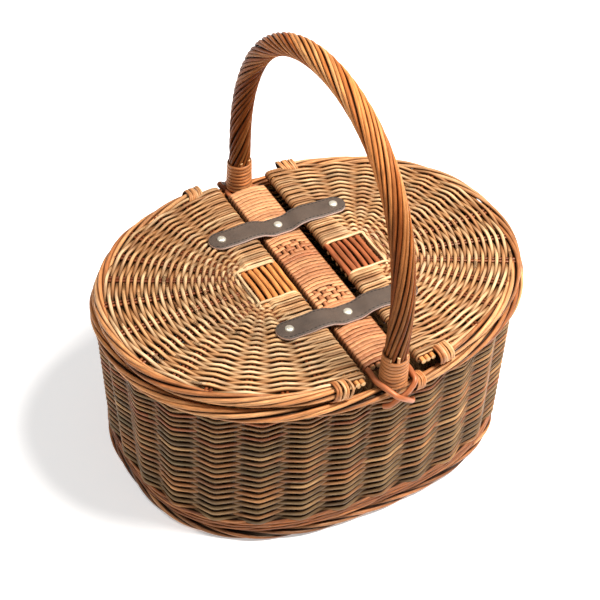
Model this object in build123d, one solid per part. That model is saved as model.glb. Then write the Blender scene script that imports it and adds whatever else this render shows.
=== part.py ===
from build123d import *
import math
import os

# Oval willow picnic basket with two leather-hinged lids and a fixed rope-twisted carrying handle.
# Millimetres. +Z is up, +X runs along the length, and the origin is on the floor under the centre.

# ---- driving dimensions ------------------------------------------------------------------------
HALF_LENGTH = 224.0          # to the outside of the top border
HALF_WIDTH = 169.0
BORDER_TOP = 186.0           # the rim that the lids close onto
BORDER_DEPTH, BORDER_WALL = 14.0, 15.0
ROUND = 2.2                  # fullness of the rim's oval, where 2 is an ellipse
FULL = 2.5                   # fuller oval of the foot
OUTLINE_POINTS = 48
HANDLE_TOP = 449.0
HANDLE_SPREAD = 157.0        # from the centre to each foot of the handle
GAP = 0.2                    # between pieces that are woven or pushed together

# foot, base and side
FOOT_LENGTH, FOOT_WIDTH = 207.0, 162.5
FOOT_TOP = 12.0
FOOT_WALL = 12.0
WALE_TOP = 26.0
WALE_INSET = 1.5
WALE_WALL = 11.0
WALL = 11.0
WALL_FOOT_LENGTH, WALL_FOOT_WIDTH = 199.5, 155.2     # middle of the wall at its foot
WALL_TOP_LENGTH, WALL_TOP_WIDTH = 212.0, 157.3       # middle of the wall under the border
STAKES = 28
STAKE_RADIUS = 2.0
BASE_BOTTOM, BASE_TOP = 4.0, 14.0
BASE_STICK_RADIUS = 2.0
LONG_STICK_HEIGHT, CROSS_STICK_HEIGHT = 7.0, 11.1
LONG_STICKS, LONG_STICK_PITCH = 7, 16.0
CROSS_STICKS, CROSS_STICK_PITCH = 9, 34.0

# handle
CORE_RADIUS = 4.5
CORE_TIP_RADIUS = 2.5
CORE_TIP_BOTTOM = 40.0
ROPE_RADIUS = 11.3
SIDE_BEND_RADIUS = 215.0
SIDE_BEND_ANGLE = 27.2
WRAP_HEIGHT = 38.0
WRAP_FOOT_RADIUS, WRAP_HEAD_RADIUS = 13.8, 12.9

# bridge between the two lids
BRIDGE_HALF_WIDTH = 21.5
BRIDGE_TOP = 197.6
BRIDGE_LENGTH = 139.5
BRIDGE_STICK_RADIUS = 3.0
BRIDGE_STICK_PLACES = (4.8, 11.4, 18.0)
BRIDGE_EAR_LENGTH = 149.5
TIE_ROD_RADIUS = 2.8
TIE_ROD_BEND = 5.0
UNDER_ROD_BEND = 3.0
BINDING_PLACE = (19.5, 26.0)
BINDING_THICKNESS = 2.0

# lids
LID_LENGTH, LID_WIDTH = 220.0, 165.5
LID_BOTTOM, LID_TOP = 187.5, 202.0
LID_EDGE = 27.0              # straight edge of each lid
LID_BORDER_WALL = 13.0
PANEL_BOTTOM = 191.0
BAND_END = 50.5              # the closely wrapped strip along the straight edge
BLOCK_END = 68.0             # the bare crossing of the lid's sticks
BLOCK_HALF = 23.0
LID_STICK_RADIUS = 2.5
LID_STICK_HEIGHT = 198.7
LID_STICK_PLACES = (30.6, 37.5, 44.4, 51.3, 58.2, 65.1)
LONG_LID_STICKS = 3
SHORT_STICK_HALF = 38.0
UNDER_STICK_RADIUS = 2.2
UNDER_STICK_HEIGHT = 193.9
UNDER_STICK_PLACES = (-18.0, -9.0, 0.0, 9.0, 18.0)
UNDER_STICK_END = 88.0
FAN_CENTRE = 47.0
FAN_START = 52.0
FAN_STAKES = 13
FAN_END_TURN = 72.0          # place of the last stake on the border, in degrees
FAN_STAKE_RADIUS = 1.8
FAN_STAKE_HEIGHT = 197.0
CORNER_TIE_PLACE = (44.0, 62.0)
CORNER_TIE_THICKNESS = 1.1

# leather straps and their rivets
STRAP_PLACE = 71.0
STRAP_WIDTH = 24.0
STRAP_THICKNESS = 3.0
STRAP_TIP = 77.0
STRAP_MIDDLE_END = 23.5
STRAP_END_START = 27.6
STRAP_FLAT = 8.0
RIVET_PLACE = 64.0
RIVET_HEAD_RADIUS, RIVET_HEAD_HEIGHT = 4.5, 2.6
SHANK_RADIUS = 1.6
WASHER_RADIUS, WASHER_THICKNESS = 5.0, 1.2
BORE_CLEARANCE = 0.15

STRAP_TOP = LID_TOP + STRAP_THICKNESS


# ---- helpers -----------------------------------------------------------------------------------
def save(node, shape):
    """Write one node; a list is kept as a group of separate solids."""
    if isinstance(shape, list):
        shape = Compound(children=[solid for item in shape for solid in item.solids()])
    export_step(shape, f"parts/{node}.step")


def heading(turn):
    """Compass angle of a point that is a given turn round the top border."""
    return math.atan2(HALF_WIDTH * math.sin(turn), HALF_LENGTH * math.cos(turn))


def oval_point(half_length, half_width, fullness, turn):
    angle = heading(turn)
    across = abs(math.cos(angle) / half_length) ** fullness
    along = abs(math.sin(angle) / half_width) ** fullness
    reach = (across + along) ** (-1.0 / fullness)
    return reach * math.cos(angle), reach * math.sin(angle)


def oval_face(half_length, half_width, fullness, height):
    points = []
    for k in range(OUTLINE_POINTS):
        x, y = oval_point(half_length, half_width, fullness, 2 * math.pi * k / OUTLINE_POINTS)
        points.append((x, y, height))
    return make_face(Spline(*points, periodic=True))


def oval_block(half_length, half_width, fullness, bottom, top):
    return extrude(oval_face(half_length, half_width, fullness, bottom), top - bottom)


def oval_ring(half_length, half_width, wall, fullness, bottom, top):
    outer = oval_block(half_length, half_width, fullness, bottom, top)
    inner = oval_block(half_length - wall, half_width - wall, fullness, bottom, top)
    return outer - inner


def box_between(low, high):
    size = [b - a for a, b in zip(low, high)]
    middle = [(a + b) / 2 for a, b in zip(low, high)]
    return Pos(*middle) * Box(*size)


def rod(start, end, radius):
    """Round stick between two points."""
    run = Vector(*end) - Vector(*start)
    return Plane(origin=start, z_dir=run) * extrude(Circle(radius), run.length)


def tube_along(path, radius):
    return sweep(Plane(origin=path @ 0, z_dir=path % 0) * Circle(radius), path=path)


# ---- foot, base and side -----------------------------------------------------------------------
def foot_border():
    return oval_ring(FOOT_LENGTH, FOOT_WIDTH, FOOT_WALL, FULL, 0, FOOT_TOP)


def bottom_wale():
    return oval_ring(FOOT_LENGTH - WALE_INSET, FOOT_WIDTH - WALE_INSET, WALE_WALL, FULL, FOOT_TOP, WALE_TOP)


def base_outline():
    inset = WALE_INSET + WALE_WALL + GAP
    return oval_block(FOOT_LENGTH - inset, FOOT_WIDTH - inset, FULL, BASE_BOTTOM, BASE_TOP)


def base_sticks(radius, inside):
    """Long and cross sticks of the base, clipped to the outline that is passed in."""
    long_sticks = []
    for k in range(LONG_STICKS):
        y = (k - (LONG_STICKS - 1) / 2) * LONG_STICK_PITCH
        stick = rod((-FOOT_LENGTH, y, LONG_STICK_HEIGHT), (FOOT_LENGTH, y, LONG_STICK_HEIGHT), radius)
        long_sticks.append(stick & inside)
    cross_sticks = []
    for k in range(CROSS_STICKS):
        x = (k - (CROSS_STICKS - 1) / 2) * CROSS_STICK_PITCH
        stick = rod((x, -FOOT_WIDTH, CROSS_STICK_HEIGHT), (x, FOOT_WIDTH, CROSS_STICK_HEIGHT), radius)
        cross_sticks.append(stick & inside)
    return long_sticks, cross_sticks


def base_weave():
    block = base_outline()
    long_channels, cross_channels = base_sticks(BASE_STICK_RADIUS + GAP, block)
    return block - long_channels - cross_channels


def wall_surface(offset):
    """Solid inside the wall's middle surface moved outwards by the offset."""
    foot = oval_face(WALL_FOOT_LENGTH + offset, WALL_FOOT_WIDTH + offset, FULL, WALE_TOP)
    head = oval_face(WALL_TOP_LENGTH + offset, WALL_TOP_WIDTH + offset, ROUND, BORDER_TOP - BORDER_DEPTH)
    return loft([foot, head], ruled=True)


def even_turns(half_length, half_width, low, high, count):
    """Turns that cut an outline between two turns into equal lengths."""
    samples = 720
    turns = [low + (high - low) * k / samples for k in range(samples + 1)]
    points = [oval_point(half_length, half_width, ROUND, turn) for turn in turns]
    lengths = [0.0]
    for previous, point in zip(points, points[1:]):
        lengths.append(lengths[-1] + math.dist(previous, point))
    even = []
    for step in range(count + 1):
        target = lengths[-1] * step / count
        k = max(i for i in range(samples) if lengths[i] <= target + 1e-9)
        part = (target - lengths[k]) / (lengths[k + 1] - lengths[k])
        even.append(turns[k] + (turns[k + 1] - turns[k]) * part)
    return even


def stake_turns():
    """Turns of the stakes, evenly spaced along the wall, without the two that the handle replaces."""
    turns = even_turns(WALL_TOP_LENGTH, WALL_TOP_WIDTH, 0, 2 * math.pi, STAKES)
    replaced = (STAKES // 4, 3 * STAKES // 4)
    return [turns[stake] for stake in range(STAKES) if stake not in replaced]


def side_sticks(radius, overlap):
    sticks = []
    for turn in stake_turns():
        foot = Vector(*oval_point(WALL_FOOT_LENGTH, WALL_FOOT_WIDTH, FULL, turn), WALE_TOP)
        head = Vector(*oval_point(WALL_TOP_LENGTH, WALL_TOP_WIDTH, ROUND, turn), BORDER_TOP - BORDER_DEPTH)
        reach = (head - foot).normalized() * overlap
        sticks.append(rod(foot - reach, head + reach, radius))
    return sticks


def side_stakes():
    slab = box_between((-HALF_LENGTH, -HALF_LENGTH, WALE_TOP + GAP),
                       (HALF_LENGTH, HALF_LENGTH, BORDER_TOP - BORDER_DEPTH - GAP))
    return [stick & slab for stick in side_sticks(STAKE_RADIUS, 1.0)]


def handle_sockets():
    return [rod((0, y, CORE_TIP_BOTTOM - 1), (0, y, HALF_LENGTH), CORE_TIP_RADIUS + GAP)
            for y in (-HANDLE_SPREAD, HANDLE_SPREAD)]


def side_weave():
    shell = wall_surface(WALL / 2) - wall_surface(-WALL / 2)
    return shell - side_sticks(STAKE_RADIUS + GAP, 2.0) - handle_sockets()


def top_border():
    ring = oval_ring(HALF_LENGTH, HALF_WIDTH, BORDER_WALL, ROUND, BORDER_TOP - BORDER_DEPTH, BORDER_TOP)
    return ring - handle_sockets()


# ---- handle ------------------------------------------------------------------------------------
def handle_path(foot_height):
    """Half-round bow over two upright legs, in the plane across the basket."""
    angle = math.radians(SIDE_BEND_ANGLE)
    crown_radius = (HANDLE_SPREAD - SIDE_BEND_RADIUS * (1 - math.cos(angle))) / math.cos(angle)
    bow_rise = SIDE_BEND_RADIUS * math.sin(angle) + crown_radius * (1 - math.sin(angle))
    leg_top = HANDLE_TOP - ROPE_RADIUS - bow_rise
    shoulder = (HANDLE_SPREAD - SIDE_BEND_RADIUS * (1 - math.cos(angle)),
                leg_top + SIDE_BEND_RADIUS * math.sin(angle))
    side_middle = (HANDLE_SPREAD - SIDE_BEND_RADIUS * (1 - math.cos(angle / 2)),
                   leg_top + SIDE_BEND_RADIUS * math.sin(angle / 2))
    crown = (0, HANDLE_TOP - ROPE_RADIUS)
    with BuildLine(Plane.YZ) as bow:
        Line((-HANDLE_SPREAD, foot_height), (-HANDLE_SPREAD, leg_top))
        ThreePointArc((-HANDLE_SPREAD, leg_top), (-side_middle[0], side_middle[1]), (-shoulder[0], shoulder[1]))
        ThreePointArc((-shoulder[0], shoulder[1]), crown, shoulder)
        ThreePointArc(shoulder, side_middle, (HANDLE_SPREAD, leg_top))
        Line((HANDLE_SPREAD, leg_top), (HANDLE_SPREAD, foot_height))
    return bow.wires()[0]


def handle_core():
    foot = BORDER_TOP + GAP
    bow = tube_along(handle_path(foot), CORE_RADIUS)
    tips = [rod((0, y, CORE_TIP_BOTTOM), (0, y, foot), CORE_TIP_RADIUS) for y in (-HANDLE_SPREAD, HANDLE_SPREAD)]
    return bow + tips


def handle_rope():
    foot = BORDER_TOP + GAP
    return tube_along(handle_path(foot), ROPE_RADIUS) - tube_along(handle_path(foot), CORE_RADIUS + GAP)


def handle_wrap(side):
    """Cane wound round the foot of the handle; side is -1 for the front and 1 for the rear."""
    foot = Pos(0, side * HANDLE_SPREAD, BORDER_TOP + GAP + WRAP_HEIGHT / 2)
    sleeve = Cone(WRAP_FOOT_RADIUS, WRAP_HEAD_RADIUS, WRAP_HEIGHT)
    return foot * (sleeve - Cylinder(ROPE_RADIUS + GAP, 2 * WRAP_HEIGHT))


# ---- bridge ------------------------------------------------------------------------------------
def bridge_sticks(radius, grow):
    """Sticks under the binding; the outermost pair passes either side of the handle."""
    middle = (BORDER_TOP + BRIDGE_TOP) / 2
    sticks = []
    for place in BRIDGE_STICK_PLACES:
        reach = BRIDGE_LENGTH
        if place == BRIDGE_STICK_PLACES[-1]:
            reach = BRIDGE_EAR_LENGTH
        for x in (-place, place):
            sticks.append(rod((x, -reach - grow, middle), (x, reach + grow, middle), radius))
    return sticks


def rivet_shank_bores(x, bottom, top):
    radius = SHANK_RADIUS + BORE_CLEARANCE
    return [rod((x, y, bottom), (x, y, top), radius) for y in (-STRAP_PLACE, STRAP_PLACE)]


def bridge_binding():
    slab = box_between((-BRIDGE_HALF_WIDTH, -BRIDGE_LENGTH, BORDER_TOP + GAP),
                       (BRIDGE_HALF_WIDTH, BRIDGE_LENGTH, BRIDGE_TOP))
    long_edges = slab.edges().filter_by(Axis.Y)
    slab = fillet(long_edges, 3.0)
    slab = slab - bridge_sticks(BRIDGE_STICK_RADIUS + GAP, 1.0)
    return slab - rivet_shank_bores(0, BORDER_TOP - 2, BRIDGE_TOP + 2)


def tie_rods():
    """Ends of the bridge's outer sticks, crossed over the border in front of the handle's foot."""
    start = -BRIDGE_EAR_LENGTH - GAP
    height = (BORDER_TOP + BRIDGE_TOP) / 2
    side = BRIDGE_STICK_PLACES[-1]
    over = FilletPolyline((-side, start, height), (-17.5, -167, 192), (-9, -178.4, 190), (6, -178.6, 176.4),
                          (17, -169.6, 164), radius=TIE_ROD_BEND)
    under = FilletPolyline((side, start, height), (18, -168, 191.5), (15, -172.8, 188), (-10, -172.8, 172),
                           (-17, -168.8, 165), radius=UNDER_ROD_BEND)
    return [tube_along(over, TIE_ROD_RADIUS), tube_along(under, TIE_ROD_RADIUS)]


def border_clip(half_length, half_width, wall, bottom, top, thickness, place, closed_below):
    """Lashing round the outside of a border, between two places along X, at the front."""
    skin = GAP / 2
    low = bottom
    if closed_below:
        low = bottom - skin - thickness
    grown = oval_block(half_length + skin + thickness, half_width + skin + thickness, ROUND,
                       low, top + skin + thickness)
    hollow = oval_block(half_length + skin, half_width + skin, ROUND, bottom - skin, top + skin)
    inside = oval_block(half_length - wall, half_width - wall, ROUND, bottom - 10, top + 10)
    slot = box_between((place[0], -HALF_LENGTH, bottom - 10), (place[1], 0, top + 10))
    return (grown - hollow - inside) & slot


def border_binding():
    return border_clip(HALF_LENGTH, HALF_WIDTH, BORDER_WALL, BORDER_TOP - BORDER_DEPTH, BORDER_TOP,
                       BINDING_THICKNESS, BINDING_PLACE, False)


# ---- lids, made on the +X side and mirrored for the other --------------------------------------
def lid_side():
    return box_between((LID_EDGE, -HALF_LENGTH, 0), (HALF_LENGTH + 20, HALF_LENGTH, HANDLE_TOP))


def lid_border():
    return oval_ring(LID_LENGTH, LID_WIDTH, LID_BORDER_WALL, ROUND, LID_BOTTOM, LID_TOP) & lid_side()


def lid_inside(low, high):
    inset = LID_BORDER_WALL + GAP
    return oval_block(LID_LENGTH - inset, LID_WIDTH - inset, ROUND, low, high)


def lid_cross_sticks(radius, grow):
    """Sticks along the straight edge; three run its whole length and three cross the block only."""
    inside = lid_inside(PANEL_BOTTOM, LID_TOP)
    sticks = []
    for k, x in enumerate(LID_STICK_PLACES):
        reach = SHORT_STICK_HALF + grow
        if k < LONG_LID_STICKS:
            reach = HALF_WIDTH
        sticks.append(rod((x, -reach, LID_STICK_HEIGHT), (x, reach, LID_STICK_HEIGHT), radius) & inside)
    return sticks


def lid_under_sticks(radius, grow):
    sticks = []
    for y in UNDER_STICK_PLACES:
        start = (LID_EDGE + 1 - grow, y, UNDER_STICK_HEIGHT)
        end = (UNDER_STICK_END + grow, y, UNDER_STICK_HEIGHT)
        sticks.append(rod(start, end, radius))
    return sticks


def lid_fan_stakes(radius, start):
    """Stakes that spread from the block to places evenly spaced round the lid's border."""
    inside = lid_inside(PANEL_BOTTOM, LID_TOP)
    end = math.radians(FAN_END_TURN)
    stakes = []
    for turn in even_turns(LID_LENGTH, LID_WIDTH, -end, end, FAN_STAKES - 1):
        x, y = oval_point(LID_LENGTH, LID_WIDTH, ROUND, turn)
        run = Vector(x - FAN_CENTRE, y, 0)
        low = Vector(FAN_CENTRE, 0, FAN_STAKE_HEIGHT) + run.normalized() * start
        high = Vector(FAN_CENTRE, 0, FAN_STAKE_HEIGHT) + run
        stakes.append(rod(low, high, radius) & inside)
    return stakes


def lid_block():
    return box_between((LID_EDGE - 1, -BLOCK_HALF, PANEL_BOTTOM - 1), (BLOCK_END, BLOCK_HALF, LID_TOP + 1))


def lid_edge_band():
    strip = box_between((LID_EDGE, -HALF_LENGTH, 0), (BAND_END, HALF_LENGTH, HANDLE_TOP))
    band = (lid_inside(PANEL_BOTTOM, LID_TOP) & strip) - lid_block()
    return band - lid_cross_sticks(LID_STICK_RADIUS + GAP, 1.0)


def lid_weave():
    strip = box_between((BAND_END + GAP, -HALF_LENGTH, 0), (HALF_LENGTH, HALF_LENGTH, HANDLE_TOP))
    panel = (lid_inside(PANEL_BOTTOM, LID_TOP) & strip) - lid_block()
    panel = panel - lid_cross_sticks(LID_STICK_RADIUS + GAP, 0.5)
    panel = panel - lid_under_sticks(UNDER_STICK_RADIUS + GAP, 0.5)
    panel = panel - lid_fan_stakes(FAN_STAKE_RADIUS + GAP, FAN_START - 0.5)
    return panel - rivet_shank_bores(RIVET_PLACE, PANEL_BOTTOM - 5, LID_TOP + 5)


def lid_corner_ties():
    front = border_clip(LID_LENGTH, LID_WIDTH, LID_BORDER_WALL, LID_BOTTOM, LID_TOP,
                        CORNER_TIE_THICKNESS, CORNER_TIE_PLACE, True)
    return [front, mirror(front, about=Plane.XZ)]


# ---- straps and rivets -------------------------------------------------------------------------
def strap_band(start, end):
    """Length of leather on a lid, flat, from start to end along X."""
    return box_between((start, -STRAP_WIDTH / 2, LID_TOP), (end, STRAP_WIDTH / 2, STRAP_TOP))


def strap_end():
    tip_centre = STRAP_TIP - STRAP_WIDTH / 2
    tip = Pos(tip_centre, 0, LID_TOP + STRAP_THICKNESS / 2) * Cylinder(STRAP_WIDTH / 2, STRAP_THICKNESS)
    band = strap_band(STRAP_END_START, tip_centre) + tip
    hole = rod((RIVET_PLACE, 0, LID_TOP - 1), (RIVET_PLACE, 0, STRAP_TOP + 1), SHANK_RADIUS + BORE_CLEARANCE)
    return band - hole


def strap_flex():
    return strap_band(STRAP_MIDDLE_END, STRAP_END_START - GAP)


def dip(drop):
    """Line of the strap from one lid to the other, down over the bridge, as tangent arcs."""
    run = STRAP_MIDDLE_END - STRAP_FLAT
    high = LID_TOP + drop
    low = BRIDGE_TOP + drop
    half_run, half_drop = run / 2, (high - low) / 2
    bend = (half_run ** 2 + half_drop ** 2) / (2 * half_drop)
    angle = math.asin(half_run / bend) / 2
    side, sag = bend * math.sin(angle), bend * (1 - math.cos(angle))
    left = [(-STRAP_MIDDLE_END, high), (-STRAP_MIDDLE_END + side, high - sag),
            (-STRAP_FLAT - half_run, high - half_drop), (-STRAP_FLAT - side, low + sag), (-STRAP_FLAT, low)]
    right = [(-x, z) for x, z in reversed(left)]
    return left, right


def strap_middle():
    left, right = dip(0.0)
    left_top, right_top = dip(STRAP_THICKNESS)
    with BuildPart() as strap:
        with BuildSketch(Plane.XZ):
            with BuildLine():
                ThreePointArc(left[0], left[1], left[2])
                ThreePointArc(left[2], left[3], left[4])
                Line(left[4], right[0])
                ThreePointArc(right[0], right[1], right[2])
                ThreePointArc(right[2], right[3], right[4])
                Line(right[4], right_top[4])
                ThreePointArc(right_top[4], right_top[3], right_top[2])
                ThreePointArc(right_top[2], right_top[1], right_top[0])
                Line(right_top[0], left_top[4])
                ThreePointArc(left_top[4], left_top[3], left_top[2])
                ThreePointArc(left_top[2], left_top[1], left_top[0])
                Line(left_top[0], left[0])
            make_face()
        extrude(amount=STRAP_WIDTH / 2, both=True)
    hole = rod((0, 0, BRIDGE_TOP - 1), (0, 0, STRAP_TOP), SHANK_RADIUS + BORE_CLEARANCE)
    return strap.part - hole


def rivet(x, seat, tail):
    """Domed head on the leather and a shank down to its washer."""
    dome_radius = (RIVET_HEAD_RADIUS ** 2 + RIVET_HEAD_HEIGHT ** 2) / (2 * RIVET_HEAD_HEIGHT)
    dome = Pos(x, 0, seat + RIVET_HEAD_HEIGHT - dome_radius) * Sphere(dome_radius)
    head = dome & box_between((x - 10, -10, seat), (x + 10, 10, seat + 10))
    return head + rod((x, 0, tail), (x, 0, seat), SHANK_RADIUS)


def washer(x, top):
    ring = Cylinder(WASHER_RADIUS, WASHER_THICKNESS) - Cylinder(SHANK_RADIUS + BORE_CLEARANCE, 10)
    return Pos(x, 0, top - WASHER_THICKNESS / 2) * ring


def front_and_rear(shape):
    return [Pos(0, -STRAP_PLACE, 0) * shape, Pos(0, STRAP_PLACE, 0) * shape]


# ---- the whole basket --------------------------------------------------------------------------
long_sticks, cross_sticks = base_sticks(BASE_STICK_RADIUS, base_outline())
save("foot_border", foot_border())
save("base_weave", base_weave())
save("base_long_sticks", long_sticks)
save("base_cross_sticks", cross_sticks)
save("bottom_wale", bottom_wale())
save("side_stakes", side_stakes())
save("side_weave", side_weave())
save("top_border", top_border())
save("handle_core", handle_core())
save("handle_rope", handle_rope())
save("handle_wrap_front", handle_wrap(-1))
save("handle_wrap_rear", handle_wrap(1))
save("bridge_sticks", bridge_sticks(BRIDGE_STICK_RADIUS, 0))
save("bridge_binding", bridge_binding())
save("tie_rods_front", tie_rods())
save("tie_rods_rear", [Rot(0, 0, 180) * shape for shape in tie_rods()])
save("border_binding_front", border_binding())
save("border_binding_rear", Rot(0, 0, 180) * border_binding())
save("bridge_rivets", front_and_rear(rivet(0, BRIDGE_TOP + STRAP_THICKNESS, BORDER_TOP - WASHER_THICKNESS)))
save("bridge_washers", front_and_rear(washer(0, BORDER_TOP)))

for side, side_name in ((-1, "left"), (1, "right")):
    def placed(shape, flip=(side < 0)):
        shapes = shape
        if not isinstance(shape, list):
            shapes = [shape]
        if flip:
            shapes = [mirror(item, about=Plane.YZ) for item in shapes]
        return shapes

    save(f"lid_{side_name}_border", placed(lid_border()))
    save(f"lid_{side_name}_edge_band", placed(lid_edge_band()))
    save(f"lid_{side_name}_weave", placed(lid_weave()))
    save(f"lid_{side_name}_cross_sticks", placed(lid_cross_sticks(LID_STICK_RADIUS, 0)))
    save(f"lid_{side_name}_under_sticks", placed(lid_under_sticks(UNDER_STICK_RADIUS, 0)))
    save(f"lid_{side_name}_fan_stakes", placed(lid_fan_stakes(FAN_STAKE_RADIUS, FAN_START)))
    save(f"lid_{side_name}_corner_ties", placed(lid_corner_ties()))
    save(f"lid_{side_name}_rivets",
         placed(front_and_rear(rivet(RIVET_PLACE, STRAP_TOP, PANEL_BOTTOM - WASHER_THICKNESS))))
    save(f"lid_{side_name}_washers", placed(front_and_rear(washer(RIVET_PLACE, PANEL_BOTTOM))))
    for y, end_name in ((-STRAP_PLACE, "front"), (STRAP_PLACE, "rear")):
        save(f"{end_name}_strap_{side_name}_end", placed(Pos(0, y, 0) * strap_end()))
        save(f"{end_name}_strap_{side_name}_flex", placed(Pos(0, y, 0) * strap_flex()))

for y, end_name in ((-STRAP_PLACE, "front"), (STRAP_PLACE, "rear")):
    save(f"{end_name}_strap_middle", Pos(0, y, 0) * strap_middle())
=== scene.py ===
import math

import bpy
import numpy as np
from mathutils import Matrix, Vector


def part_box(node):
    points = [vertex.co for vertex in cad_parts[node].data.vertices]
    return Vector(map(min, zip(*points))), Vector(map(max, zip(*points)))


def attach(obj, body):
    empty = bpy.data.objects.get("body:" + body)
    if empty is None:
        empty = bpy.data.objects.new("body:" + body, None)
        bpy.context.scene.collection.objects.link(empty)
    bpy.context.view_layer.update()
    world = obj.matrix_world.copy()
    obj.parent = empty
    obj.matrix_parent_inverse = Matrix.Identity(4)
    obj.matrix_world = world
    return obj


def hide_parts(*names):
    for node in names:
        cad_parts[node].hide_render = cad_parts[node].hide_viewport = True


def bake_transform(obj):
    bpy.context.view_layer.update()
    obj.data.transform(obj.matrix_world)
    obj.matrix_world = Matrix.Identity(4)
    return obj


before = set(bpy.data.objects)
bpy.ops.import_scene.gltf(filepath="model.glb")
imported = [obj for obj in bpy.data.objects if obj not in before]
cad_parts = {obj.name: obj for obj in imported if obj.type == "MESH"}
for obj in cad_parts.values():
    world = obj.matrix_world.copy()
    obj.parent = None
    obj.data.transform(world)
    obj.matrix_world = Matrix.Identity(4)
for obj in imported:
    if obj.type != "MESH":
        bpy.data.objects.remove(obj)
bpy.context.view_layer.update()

# Lengths in this script are millimetres; MM turns them into Blender's metres when a mesh is made.
MM = 0.001
TAU = 2 * math.pi
UP, DOWN = (0, 0, 1), (0, 0, -1)
FRONT, REAR = -1, 1
LEFT, RIGHT = -1, 1
END_NAMES = {FRONT: "front", REAR: "rear"}
SIDE_NAMES = {LEFT: "left", RIGHT: "right"}


def node_box(node):
    low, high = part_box(node)
    return np.array(low) / MM, np.array(high) / MM


# ---- sizes, from the frame
border_low, border_high = node_box("top_border")
wall_low, wall_high = node_box("side_weave")
wale_low, wale_high = node_box("bottom_wale")
foot_low, foot_high = node_box("foot_border")
base_low, base_high = node_box("base_weave")
lid_low, lid_high = node_box("lid_right_border")
band_low, band_high = node_box("lid_right_edge_band")
bridge_low, bridge_high = node_box("bridge_binding")
rope_low, rope_high = node_box("handle_rope")
wrap_low, wrap_high = node_box("handle_wrap_rear")
strap_low, strap_high = node_box("front_strap_right_end")
middle_low, middle_high = node_box("front_strap_middle")

STAKES = 28
ROUND, FULL = 2.2, 2.5  # squareness of the outline at the border, and at the foot
HALF_LENGTH, HALF_WIDTH = border_high[0], border_high[1]
BORDER_DEPTH = (border_high[2] - border_low[2]) / 2
BORDER_HALF = (HALF_LENGTH - BORDER_DEPTH, HALF_WIDTH - BORDER_DEPTH)
WALL = 11.0
WALL_HEAD = (wall_high[0] - WALL / 2, wall_high[1] - WALL / 2)
WALL_FOOT = (wale_high[0] - WALL / 2 - 0.5, wale_high[1] - WALL / 2 - 0.3)
BASE_MIDDLE = (base_low[2] + base_high[2]) / 2

rng = np.random.default_rng(11)


# ---- ovals
def along_path(path):
    """Length along a path, at each of its points."""
    return np.concatenate([[0], np.cumsum(np.linalg.norm(np.diff(path, axis=0), axis=1))])


def line_of(x, y, z):
    """Points of a path; a single number holds for all of them."""
    return np.column_stack(np.broadcast_arrays(x, y, z)).astype(float)


def bowed(value, power):
    """Raises a cosine or a sine to a power and keeps its sign, so that a round outline turns squarer."""
    return np.sign(value) * np.abs(value) ** power


def oval_xy(half, fullness, turn):
    """Points of a superellipse, by the turn round the top border."""
    angle = np.arctan2(HALF_WIDTH * np.sin(turn), HALF_LENGTH * np.cos(turn))
    across = np.abs(np.cos(angle) / half[0]) ** fullness
    along = np.abs(np.sin(angle) / half[1]) ** fullness
    reach = (across + along) ** (-1.0 / fullness)
    return np.stack([reach * np.cos(angle), reach * np.sin(angle)], -1)


def arc_table(half, fullness, samples=2000):
    """Share of the outline's length against the turn."""
    turns = np.linspace(0.0, TAU, samples)
    lengths = along_path(oval_xy(half, fullness, turns))
    return lengths / lengths[-1], turns


STAKE_SHARES, STAKE_TURNS = arc_table(WALL_HEAD, ROUND)


def stake_turn(stake):
    """Turn of a place counted in stakes: 0 is the right end, 7 the rear, 21 the front."""
    laps = np.floor(np.asarray(stake) / STAKES)
    share = np.asarray(stake) / STAKES - laps
    return np.interp(share, STAKE_SHARES, STAKE_TURNS) + laps * TAU


def outward(half, fullness, turn):
    """Level directions square to an oval."""
    step = 1e-3
    run = oval_xy(half, fullness, turn + step) - oval_xy(half, fullness, turn - step)
    run /= np.linalg.norm(run, axis=-1, keepdims=True)
    return np.stack([run[..., 1], -run[..., 0]], -1)


def ring_points(half, fullness, stake, height, out):
    """Points round an oval ring, moved outwards, and the outward directions there."""
    turn = stake_turn(stake)
    facing = outward(half, fullness, turn)
    flat = oval_xy(half, fullness, turn) + facing * np.asarray(out)[..., None]
    height = np.broadcast_to(height, flat.shape[:-1])
    zero = np.zeros(flat.shape[:-1])
    return np.column_stack([flat, height]), np.column_stack([facing, zero])


def wall_points(stake, height, out):
    """The same on the side wall, whose outline changes from the foot to the border."""
    share = ((height - wall_low[2]) / (wall_high[2] - wall_low[2]))[..., None]
    foot, foot_facing = ring_points(WALL_FOOT, FULL, stake, height, out)
    head, head_facing = ring_points(WALL_HEAD, ROUND, stake, height, out)
    return foot * (1 - share) + head * share, foot_facing * (1 - share) + head_facing * share


# ---- rods: round or flat strands swept along a path
def unit(vectors):
    return vectors / np.maximum(np.linalg.norm(vectors, axis=-1, keepdims=True), 1e-9)


def tilted(facing, angle):
    """Level outward directions, each turned up by an angle."""
    facing = facing * np.cos(angle)[:, None]
    facing[:, 2] += np.sin(angle)
    return facing


def grid_quads(rows, sides, closed=False):
    """Faces of a tube whose points run round each row in turn; closed joins the last row to the first."""
    index = np.arange(rows * sides).reshape(rows, sides)
    current, following = (index, np.roll(index, -1, 0)) if closed else (index[:-1], index[1:])
    quads = np.stack([current, np.roll(current, -1, 1), np.roll(following, -1, 1), following], -1)
    return quads.reshape(-1, 4)


def add_object(name, data):
    thing = bpy.data.objects.new(name, data)
    bpy.context.scene.collection.objects.link(thing)
    return thing


def add_mesh(name, points, faces, *materials):
    """Smooth mesh from points in millimetres."""
    mesh = bpy.data.meshes.new(name)
    mesh.from_pydata((np.asarray(points) * MM).tolist(), [], faces)
    mesh.shade_smooth()
    for material in materials:
        mesh.materials.append(material)
    return add_object(name, mesh)


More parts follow.
